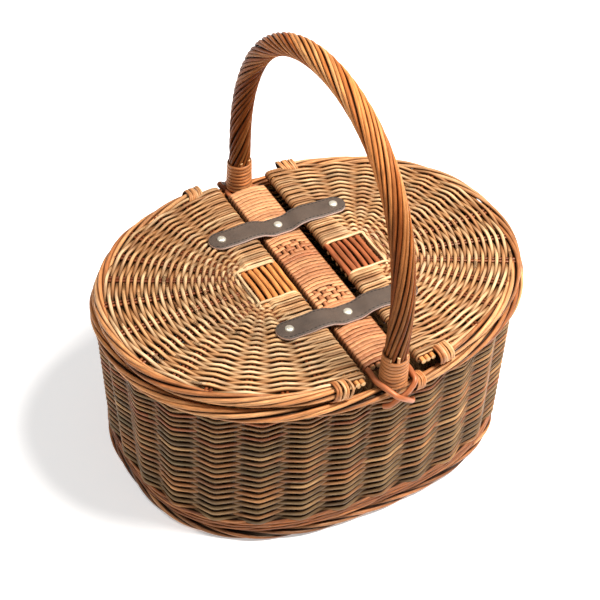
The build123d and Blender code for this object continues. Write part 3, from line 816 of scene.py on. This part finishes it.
def bridge_cane():
    """Cane bound closely round the bridge's sticks, with two patches woven through them."""
    rods = Rods()
    half, reach = bridge_high[0], bridge_high[1]
    low, high = bridge_low[2], bridge_high[2]
    pitch = 2 * reach / CANE_TURNS
    middle = (low + high - 2.0) / 2
    top = np.linspace(-half + CANE_CORNER, half - CANE_CORNER, TOP_POINTS)
    ridge = 0.22 * np.cos((np.abs(top) - 4.8) * TAU / 6.6)
    corner = np.linspace(math.pi / 2, -math.pi / 2, SIDE_POINTS + 2)[1:-1]
    side_x = half - CANE_CORNER + 1.5 * np.cos(corner)
    side_z = middle + (high - low - 4.2) / 2 * np.sin(corner)
    under = np.linspace(half - CANE_CORNER, CANE_CORNER - half, UNDER_POINTS)
    # painted shade on the cane's sides and underside
    hidden = np.full(2 * SIDE_POINTS + UNDER_POINTS, 0.6)
    group, tone = 0, 0.5
    for turn in range(CANE_TURNS):
        if turn >= group:
            group, tone = turn + int(rng.integers(3, 9)), rng.uniform(0.1, 0.9)
        y = -reach + (turn + 0.5) * pitch
        height = high - CANE_HALF - 0.2 + ridge - 2.0 * (top / half) ** 2 + rng.uniform(-0.25, 0.15)
        if checked(y):
            for k, stick in enumerate(BRIDGE_STICKS[1:-1]):
                if (k + turn) % 2:
                    height = height - CHECK_DROP * np.exp(-((top - stick) / 3.2) ** 8)
        # painted shade: darker where the cane dips under a stick, and towards the edges of the top
        shade = np.clip(1 - (high - 3.8 - height) / 2.4, 0.0, 1) * (1 - 0.4 * (np.abs(top) / half) ** 8)
        sway = 2.4 * (1 - (top / half) ** 2) + rng.normal(0, 0.1) + 0.15 * np.sin(top / 5 + rng.uniform(0, 6))
        path = np.concatenate([line_of(top, y + sway, height), line_of(side_x, y, side_z),
                               line_of(under, y, low + CANE_HALF), line_of(-side_x[::-1], y, side_z[::-1])])
        facing = (path - [0, y, middle]) * [1, 0, 1]
        facing[:TOP_POINTS] = UP
        facing[-SIDE_POINTS - UNDER_POINTS:-SIDE_POINTS] = DOWN
        rods.add(path, pitch / 2 * rng.uniform(0.9, 1.02), facing, sides=10, flat=CANE_HALF / pitch * 2,
                 closed=True, tint=tone + rng.uniform(-0.1, 0.1), shade=np.concatenate([shade, hidden]),
                 crease=0.95)
    return rods.make("bridge_binding_cane", BRIDGE_CANE)


def bridge_sticks():
    """Sticks under the cane; in the check patches they rise through it and show."""
    rods = Rods()
    middle = (bridge_low[2] + bridge_high[2]) / 2
    for stick in BRIDGE_STICKS:
        inner = abs(stick) < BRIDGE_INNER
        end = bridge_high[1] + (-0.5 if inner else 1)
        y = np.linspace(-end, end, 60)
        lift = 1.0 * (checked(y, 2.0) & inner)
        path = line_of(stick + 1.1 * lift, y, middle - (stick / 18) ** 2 + 2.4 * lift)
        # painted light: the sticks are lighter where they rise through the cane
        rods.add(path, 2.9 - 0.9 * lift, UP, sides=12, crease=1.0, shade=1 + 0.3 * lift)
    return rods.make("bridge_stick_rods", BRIDGE_CANE)


# ---- lids
LID_ROWS = 39
FAN = 13  # stakes in each lid's fan
FAN_LIMIT = math.radians(73)
LID_EDGE = lid_low[0]
BAND_END = band_high[0]
BLOCK_HALF = 23.0
BLOCK_MIDDLE, BLOCK_END = 47.0, 68.0
LID_MIDDLE = (band_low[2] + band_high[2]) / 2 + 0.3
LID_WAVE = 3.7
LID_ROD_RADIUS = 1.84
LOOP_SQUARE = 0.4
EDGE_STICKS = (32.8, 38.2, 44.4)
CORNER_STICKS = ((31.5, 3.0), (36.5, 3.6), (41.5, 3.2), (46.5, 3.8))  # place, and depth below the middle
BLOCK_STICKS = (30.4, 37.2, 44.0, 50.8, 57.6, 64.4)
LONG_STICKS = (-18, -9, 0, 9, 18)
BORDER_REACH = 5.78  # stakes from a lid's middle to each end of its border
CORNER_TIE = 5.66
LID_INNER = (lid_high[0] - 10.5, lid_high[1] - 10.5)
LID_HALF_DEPTH = (lid_high[2] - lid_low[2]) / 2
UNDER_RUN, EDGE_BEND = 5, 9  # points of a rod under the band, and round the straight edge
TURNED = UNDER_RUN + EDGE_BEND - 1


def fan_turns():
    """Turns of the fan's stakes, evenly spaced along the border."""
    turns = np.linspace(-FAN_LIMIT, FAN_LIMIT, 1001)
    lengths = along_path(np.column_stack([LID_INNER[0] * np.cos(turns), LID_INNER[1] * np.sin(turns)]))
    return np.interp(np.linspace(0, 1, FAN), lengths / lengths[-1], turns)


def lid_xy(share, turn):
    """Place on a lid; share is 0 beside the block and 1 beside the border."""
    half_x = (BLOCK_END + LID_ROD_RADIUS - BLOCK_MIDDLE) * (1 - share) + LID_INNER[0] * share
    half_y = (BLOCK_HALF + LID_ROD_RADIUS) * (1 - share) + LID_INNER[1] * share
    square = 2 / (ROUND + 2.6 * np.exp(-share / 0.12))
    x = BLOCK_MIDDLE * (1 - share) + half_x * bowed(np.cos(turn), square)
    return x, half_y * bowed(np.sin(turn), square)


def lid_row(row, stakes):
    """Upper run of one rod of a lid: over the band, through the fan and back over the band."""
    share = (row + 0.5) / LID_ROWS
    fan = np.concatenate([np.interp(np.arange(0, FAN - 1, 0.1), np.arange(FAN), stakes), [stakes[-1]]])
    before = np.linspace(-math.pi * 0.62, stakes[0], 40)[:-1]
    turn = np.concatenate([before, fan, -before[::-1]])
    x, y = lid_xy(share, turn)
    start = BLOCK_MIDDLE * (1 - share)
    beyond = np.abs(turn) > math.pi / 2
    edge = LID_EDGE + 5.5
    y = np.where(beyond & (start > edge), np.sign(turn) * lid_xy(share, math.pi / 2)[1], y)
    keep = (x >= edge) & (~beyond | (x < start))
    x, y, turn = x[keep], y[keep], turn[keep]
    places = np.concatenate([[turn[0] - 1e-3], [min(stakes[0] - 0.12, turn[0] + 0.5)], stakes,
                             [max(stakes[-1] + 0.12, turn[-1] - 0.5)], [turn[-1] + 1e-3]])
    wave = min(3.0, 0.28 * np.diff(along_path(np.column_stack(lid_xy(share, stakes)))).min())
    signs = np.where((np.arange(FAN) + row) % 2 == 0, 1.0, -1.0) * wave
    if row < 2:
        signs = np.where(np.abs(stakes) > 0.9, wave, signs)
    values = np.concatenate([[LID_WAVE, LID_WAVE], signs, [LID_WAVE, LID_WAVE]])
    return line_of(x, y, LID_MIDDLE + between(values, places, turn)), wave


def edge_turn(y, top, low):
    """Path of a rod from under the band round the lid's straight edge and up onto it."""
    angle = np.linspace(math.pi, 0, EDGE_BEND)
    x = np.concatenate([np.linspace(BAND_END - 1, LID_EDGE + 6.5, UNDER_RUN),
                        LID_EDGE + 5.9 - 4.2 * np.sin(angle)])
    z = np.concatenate([np.full(UNDER_RUN, low), (top + low) / 2 + (top - low) / 2 * np.cos(angle)])
    return line_of(x, y, z)


def lid_rows(rods, mirror):
    """The rods of a lid, each from under the band round the edge, over the lid, and back under the band."""
    stakes = fan_turns()
    top, low = LID_MIDDLE + LID_WAVE, LID_MIDDLE - LID_WAVE
    for row in range(LID_ROWS):
        upper, wave = lid_row(row, stakes)
        start, end = edge_turn(upper[0, 1], top, low), edge_turn(upper[-1, 1], top, low)[::-1]
        path = np.vstack([start[:-1], upper, end[1:]])
        path[:, 2] += rng.normal(0, 0.25) + (0.35 if row % 2 else -0.35)
        facing = np.tile([0.0, 0.0, 1.0], (len(path), 1))
        for turned in (slice(0, TURNED), slice(-TURNED, None)):
            facing[turned] = (path[turned] - [LID_EDGE + 8, 0, LID_MIDDLE]) * [1, 0, 1]
        # painted light and shade: lighter where the rods pass over the fan and darker where they pass under,
        # a little darker overall; the turns round the edge are fully lit
        proud = np.clip((path[:, 2] - LID_MIDDLE) / wave, -1, 1) - 0.1
        proud[:TURNED] = proud[-TURNED:] = 1
        thick = LID_ROD_RADIUS * np.linspace(*rng.uniform(0.9, 1.1, 2), len(path))
        banded = np.interp(path[:, 0], [BAND_END - 2, BAND_END + 12], [1.0, 0.0])
        thick *= 1 - banded * rng.uniform(0.1, 0.3)
        path[:, 1] += banded * rng.normal(0, 0.35)
        # darker over the band, and painted shade towards the rear of the lid
        shade = (1 - banded * rng.uniform(0.2, 0.5)) * (1 - 0.16 * np.clip(path[:, 1] / 100, 0, 1))
        if row < 2:
            thick *= 1.15
        join = int(rng.integers(len(path) // 3, 2 * len(path) // 3))
        for part in (slice(0, join + 3), slice(join - 3, None)):
            rods.add(path[part] * mirror, thick[part], facing[part] * mirror, sides=8, shade=shade[part],
                     crease=0.85, power=1.3, proud=proud[part])


def edge_loops(rods, mirror):
    """Short loops that go on with the band where the rows end, out to the border."""
    angle = np.arange(24) * TAU / 24
    x = LID_EDGE + 10.5 + 8.8 * bowed(np.cos(angle), LOOP_SQUARE)
    z = LID_MIDDLE + LID_WAVE * bowed(np.sin(angle), LOOP_SQUARE)
    places = np.arange(lid_xy(1.0, 1.45)[1] + 3.0, LID_INNER[1], 3.2)
    for y in np.concatenate([places, -places]):
        path = line_of(x, y, z)
        facing = path - [LID_EDGE + 10.5, y, LID_MIDDLE]
        rods.add(path * mirror, LID_ROD_RADIUS * 0.9, facing * mirror, closed=True,
                 shade=rng.uniform(0.55, 0.8))


def block_frame(rods, mirror):
    """Three rods laid round the bare block."""
    near, far, wide = LID_EDGE + 3, 71.0, BLOCK_HALF + 1.2
    share = np.linspace(0, 1, 24)
    height = LID_MIDDLE + 4.3 + 0.3 * np.sin(share * 9) - 3.0 * np.abs(2 * share - 1) ** 12
    for x, y in (((near, far + 3), (-wide, -wide)), ((near, far + 3), (wide, wide)),
                 ((far, far), (-wide - 2, wide + 2))):
        path = line_of(np.linspace(*x, 24), np.linspace(*y, 24), height)
        rods.add(path * mirror, 1.5, UP, sides=9, tint=0.17, crease=0.6)


def lid_weave(side):
    rods = Rods()
    mirror = (side, 1, 1)
    lid_rows(rods, mirror)
    edge_loops(rods, mirror)
    block_frame(rods, mirror)
    return rods.make(f"lid_{SIDE_NAMES[side]}_weave_rods", LID_ROD)


def lid_sticks(side):
    """Edge sticks, the bare block of cross sticks with those under it, and the fan."""
    rods = Rods()
    mirror = (side, 1, 1)
    long_end = lid_high[1] - 7.0
    for k, x in enumerate(EDGE_STICKS):
        y = np.linspace(-long_end + k * 0.7, long_end - 6.0 - k * 0.7, 40)
        bare = np.interp(np.abs(y), [long_end - 30, long_end - 22], [0.0, 1.0])
        # painted shade: the edge sticks are dark where they lie under the band, full colour where they show
        # bare
        rods.add(line_of(x, y, LID_MIDDLE) * mirror, 1.75 + 0.75 * bare, UP, sides=10,
                 tint=rng.uniform(0, 0.2), shade=0.15 + 0.85 * bare)
    for x, drop in CORNER_STICKS:
        for end in (FRONT, REAR):
            tip = long_end - (3 if end == FRONT else 9) + rng.uniform(-3, 2)
            y = np.linspace(long_end - 34, tip, 8) * end
            # painted shade: these sticks lie below the weave
            rods.add(line_of(x, y, LID_MIDDLE - drop) * mirror, 2.0, UP, sides=9, tint=rng.uniform(0, 0.5),
                     shade=0.7)
    for x in BLOCK_STICKS:
        y = np.linspace(-28, 28, 24)
        bend = 0.35 * np.sin(y / 9 + rng.uniform(0, 6))
        path = line_of(x + rng.normal(0, 0.25) + bend, y, LID_MIDDLE + 1.9 - 2.4 * (np.abs(y) / 28) ** 5)
        tint = rng.uniform(0.55, 1.0) if side == RIGHT else rng.uniform(0.1, 0.45)
        rods.add(path * mirror, 2.7 + rng.uniform(-0.3, 0.15), UP, sides=14, tint=tint, crease=0.95)
    for y in LONG_STICKS:
        path = line_of(np.linspace(LID_EDGE + 2, 88, 20), y, LID_MIDDLE - 3.4)
        rods.add(path * mirror, 2.1, DOWN, sides=10)
    share = np.linspace(-0.02, 1.02, 30)
    for turn in fan_turns():
        x, y = lid_xy(share, turn)
        run = unit(np.gradient(np.column_stack([x, y]), axis=0))
        for aside in (-1.0, 1.0):
            gap = aside * np.linspace(1.2, 2.2, 30)
            path = line_of(x - run[:, 1] * gap, y + run[:, 0] * gap, LID_MIDDLE)
            # painted shade: the fan stakes lie under the rows
            rods.add(path * mirror, np.linspace(1.5, 1.9, 30), UP, sides=8, shade=0.6,
                     tint=rng.uniform(0.5, 0.9), proud=0.0)
    return rods.make(f"lid_{SIDE_NAMES[side]}_stick_rods", LID_STICK)


def lid_border(side):
    """The same rolled border as the body's, round the curved side of a lid."""
    rods = Rods()
    wall = 6.5
    half = (lid_high[0] - wall, lid_high[1] - wall)
    rolled_border(rods, half, ROUND, lid_low[2] + LID_HALF_DEPTH - 0.6, (wall, LID_HALF_DEPTH),
                  np.arange(-BORDER_REACH - 5, BORDER_REACH, 0.95), 5.0, (2.55, 2.05), (-140, 200),
                  reach=BORDER_REACH, turned=0.0 if side == RIGHT else STAKES / 2)
    return rods.make(f"lid_{SIDE_NAMES[side]}_border_rods", LID_BORDER_ROD)


def lid_corner_ties(side):
    """Cane lashings at both ends of a lid's border."""
    rods = Rods()
    section = (7.6, LID_HALF_DEPTH - 0.4)
    half = (lid_high[0] - section[0] + 0.2, lid_high[1] - section[0] + 0.2)
    middle = lid_low[2] + section[1] + 0.5
    for end in (FRONT, REAR):
        stake = CORNER_TIE * end if side == RIGHT else STAKES / 2 - CORNER_TIE * end
        lashing(rods, half, ROUND, middle, section, stake, 0.4, 7, 1.36, 1.2 * side * end)
    return rods.make(f"lid_{SIDE_NAMES[side]}_corner_cane", LID_BORDER_ROD)


# ---- straps and rivets
STRAP_PLACE = -(strap_low[1] + strap_high[1]) / 2
STRAP_HALF = (strap_high[1] - strap_low[1]) / 2
STRAP_THICK = strap_high[2] - strap_low[2]
STRAP_TIP = strap_high[0]
STRAP_FLAT = 8.0  # half length that lies flat on the bridge
STITCH_INSET = 2.3
RIVET_X = 64.0
RIVET_RIM, RIM_HEIGHT, RIVET_HEIGHT = 4.5, 0.45, 2.6
RIVET_SEGMENTS = 48


def strap_height(x):
    """Underside of a strap: flat on the lids, dipping to the bridge."""
    high, low, reach = strap_low[2], middle_low[2], middle_high[0]
    share = np.clip((np.abs(x) - STRAP_FLAT) / (reach - STRAP_FLAT), 0, 1)
    crest = 1.3 * np.exp(-((np.abs(x) - reach - 9) / 9) ** 2)
    return low + (high - low) * share * share * (3 - 2 * share) + crest


def strap_reach(x):
    """Half width of a strap, which narrows round its tip."""
    beyond = np.maximum(x - STRAP_TIP + STRAP_HALF, 0)
    return np.sqrt(np.maximum(STRAP_HALF ** 2 - beyond ** 2, 0.3))


def stitches(centre, side):
    """Two rows of stitches, one along each edge of half a strap."""
    rods = Rods()
    lift = np.array([-0.25, 0.12, 0.2, 0.12, -0.25])
    for edge in (-1, 1):
        for start in np.arange(4.0, STRAP_TIP - 6.0, 4.4):
            x = np.linspace(start, start + 2.9, len(lift))
            y = centre + edge * (strap_reach(x) - STITCH_INSET)
            path = line_of(x * side, y, strap_height(x) + STRAP_THICK - 0.15 + lift)
            rods.add(path, 0.36, UP, sides=6, ends=False)
    return rods


def strap_half(end, side):
    """Half of a strap, from the bridge's middle to its rounded tip on one lid, with its stitches."""
    centre = end * STRAP_PLACE
    round_tip = STRAP_HALF * np.sin(np.linspace(0, math.pi / 2, 20)[1:])
    x = np.concatenate([np.linspace(0, STRAP_TIP - STRAP_HALF, 90), STRAP_TIP - STRAP_HALF + round_tip])
    edge = [(1.0, 0.7), (1.0, 0.35), (1.0, 0.0)]
    profile = [(across, 1.0) for across in np.linspace(-1, 1, 17)] + edge
    profile += [(across, 0.0) for across in np.linspace(0.9, -0.9, 7)]
    profile += [(-across, up) for across, up in reversed(edge)]
    across, up = np.array(profile).T
    reach = strap_reach(x)[:, None]
    spot = across * reach
    inset = reach - np.abs(spot)
    worn = 0.45 * (1 - np.clip(inset / 0.9, 0, 1)) ** 2
    groove = 0.22 * np.exp(-((inset - STITCH_INSET) / 0.5) ** 2)
    dome = 0.25 * (1 - (spot / STRAP_HALF) ** 2)
    z = strap_height(x)[:, None] + STRAP_THICK * up - 0.2 + (up == 1.0) * (dome - worn - groove)
    points = np.stack(np.broadcast_arrays(x[:, None] * side, centre + spot, z), -1).reshape(-1, 3)
    quads = grid_quads(len(x), len(profile))
    tip = np.arange(len(points) - len(profile), len(points))
    if side == RIGHT:
        quads, tip = quads[:, ::-1], tip[::-1]
    leather_faces = quads.tolist() + [tip.tolist()]
    seam = stitches(centre, side)
    seam_points = np.vstack(seam.points)
    faces = leather_faces + (np.array(seam.faces) + len(points)).tolist()
    piece = add_mesh(f"strap_{END_NAMES[end]}_{SIDE_NAMES[side]}", np.vstack([points, seam_points]), faces,
                     LEATHER, STITCH)
    cut = np.tile((up > 0) & (up < 1), len(x))
    store(piece, "cut", np.concatenate([cut, np.zeros(len(seam_points))]))
    kinds = np.arange(len(faces)) >= len(leather_faces)
    piece.data.polygons.foreach_set("material_index", kinds.astype(np.int32))
    return piece


def rivets(name, places, seat):
    """Domed heads with a small rolled rim."""
    turn = np.linspace(0, math.pi / 2, 12)
    radius = np.concatenate([np.maximum(RIVET_RIM * np.sin(turn), 0.01), [RIVET_RIM + 0.12, RIVET_RIM]])
    up = np.concatenate([RIM_HEIGHT + (RIVET_HEIGHT - RIM_HEIGHT) * np.cos(turn), [0.2, -0.3]])
    angle = np.tile(np.arange(RIVET_SEGMENTS) * TAU / RIVET_SEGMENTS, len(radius))
    radius, up = np.repeat(radius, RIVET_SEGMENTS), np.repeat(up, RIVET_SEGMENTS)
    head = line_of(radius * np.cos(angle), radius * np.sin(angle), up)
    ring = np.arange(RIVET_SEGMENTS)
    one = grid_quads(len(head) // RIVET_SEGMENTS, RIVET_SEGMENTS)[:, ::-1].tolist()
    one += [ring.tolist(), (len(head) - 1 - ring).tolist()]
    faces = [[corner + k * len(head) for corner in face] for k in range(len(places)) for face in one]
    return add_mesh(name, np.concatenate([head + [x, y, seat] for x, y in places]), faces, NICKEL)


# ---- build
HALFWAY = STAKES // 2
finish_piece(side_weave(range(HALFWAY), "side_weave_rods_a"), "basket", "wall_willow", "side_weave")
finish_piece(side_weave(range(HALFWAY, STAKES), "side_weave_rods_b"), "basket", "wall_willow", "side_weave")
finish_piece(side_stakes(), "basket", "stake_willow", "side_stakes")
finish_piece(base_weave(), "basket", "base_willow", "base_weave")
finish_piece(base_sticks(), "basket", "base_willow", "base_long_sticks", "base_cross_sticks")
finish_piece(waling(), "basket", "foot_willow", "bottom_wale")
finish_piece(foot_border(), "basket", "foot_willow", "foot_border")
finish_piece(top_border(), "basket", "border_willow", "top_border")
finish_piece(handle_rope(), "basket", "handle_willow", "handle_rope", "handle_core")
finish_piece(bridge_cane(), "basket", "bridge_cane", "bridge_binding")
finish_piece(bridge_sticks(), "basket", "bridge_cane", "bridge_sticks")
for end, end_name in END_NAMES.items():
    finish_piece(handle_wrap(end), "basket", "wrap_cane", f"handle_wrap_{end_name}")
    finish_piece(tie_rods(end), "basket", "tie_willow", f"tie_rods_{end_name}")
    finish_piece(border_binding(end), "basket", "wrap_cane", f"border_binding_{end_name}")

for side, name in SIDE_NAMES.items():
    body = f"lid_{name}"
    finish_piece(lid_weave(side), body, "lid_willow", f"lid_{name}_weave", f"lid_{name}_edge_band")
    finish_piece(lid_sticks(side), body, "stick_willow", f"lid_{name}_cross_sticks", f"lid_{name}_fan_stakes",
                 f"lid_{name}_under_sticks")
    finish_piece(lid_border(side), body, "border_willow", f"lid_{name}_border")
    finish_piece(lid_corner_ties(side), body, "wrap_cane", f"lid_{name}_corner_ties")
    places = [(side * RIVET_X, end * STRAP_PLACE) for end in END_NAMES]
    finish_piece(rivets(f"rivet_heads_{name}", places, strap_high[2]), body, "rivet_metal",
                 f"lid_{name}_rivets")
    for end, end_name in END_NAMES.items():
        strap = strap_half(end, side)
        nodes = [f"{end_name}_strap_{name}_end", f"{end_name}_strap_{name}_flex", f"{end_name}_strap_middle"]
        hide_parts(*nodes)
        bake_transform(strap)
places = [(0, end * STRAP_PLACE) for end in END_NAMES]
finish_piece(rivets("rivet_heads_bridge", places, middle_low[2] + STRAP_THICK), "basket", "rivet_metal",
             "bridge_rivets")

# the washers are the only CAD nodes that stay in view
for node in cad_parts.values():
    if not node.hide_render:
        node.data.materials.clear()
        node.data.materials.append(NICKEL)


# ---- camera, light and floor
# Places and sizes here are metres.
AZIMUTH, ELEVATION, ROLL = math.radians(-31.3), math.radians(43.2), math.radians(3.7)
VIEW_TARGET = Vector((-0.0057, 0.00899, 0.1507))
VIEW_DISTANCE = 1.633
SENSOR_MM, LENS_MM = 36, 96.95
FLOOR_HALF = 15.0
FLOOR_GLOW = 0.36
SKY = 0.19


def camera():
    """Looks from the front left and above, rolled slightly."""
    back = Vector((math.sin(AZIMUTH) * math.cos(ELEVATION), -math.cos(AZIMUTH) * math.cos(ELEVATION),
                   math.sin(ELEVATION)))
    right = Vector((math.cos(AZIMUTH), math.sin(AZIMUTH), 0))
    up = back.cross(right)
    turned = right * math.cos(ROLL) + up * math.sin(ROLL)
    upright = up * math.cos(ROLL) - right * math.sin(ROLL)
    lens = bpy.data.cameras.new("camera")
    lens.sensor_width = SENSOR_MM
    lens.lens = LENS_MM
    lens.clip_end = 50
    view = add_object("camera", lens)
    basis = Matrix((turned, upright, back)).transposed().to_4x4()
    view.matrix_world = Matrix.Translation(VIEW_TARGET + back * VIEW_DISTANCE) @ basis
    bpy.context.scene.camera = view


def area_light(name, place, target, size, power, colour=(1, 1, 1)):
    data = bpy.data.lights.new(name, "AREA")
    data.shape = "DISK"
    data.size = size
    data.energy = power
    data.color = colour
    light = add_object(name, data)
    light.location = place
    light.rotation_euler = (Vector(target) - Vector(place)).to_track_quat("-Z", "Y").to_euler()


def floor():
    """Plain pale paper that glows a little, so that it stays near white."""
    paper = Nodes("floor_paper")
    paper.set("Base Color", (0.93, 0.93, 0.93, 1))
    paper.set("Roughness", 0.9)
    paper.set("Emission Color", (1, 1, 1, 1))
    paper.set("Emission Strength", FLOOR_GLOW)
    corners = np.array([(-1, -1, 0), (1, -1, 0), (1, 1, 0), (-1, 1, 0)]) * FLOOR_HALF / MM
    add_mesh("floor", corners, [(0, 1, 2, 3)], paper.material)


camera()
floor()
area_light("key", (0.85, -0.6, 2.3), (0, 0, 0.15), size=0.9, power=116, colour=(1.0, 0.96, 0.92))
area_light("side", (-0.8, 0.1, 2.3), (0, 0, 0.2), size=0.9, power=16)
world = bpy.data.worlds.new("studio")
world.use_nodes = True
sky = world.node_tree.nodes["Background"]
sky.inputs["Color"].default_value = (1, 1, 1, 1)
sky.inputs["Strength"].default_value = SKY
bpy.context.scene.world = world
bpy.context.scene.view_settings.view_transform = "Standard"
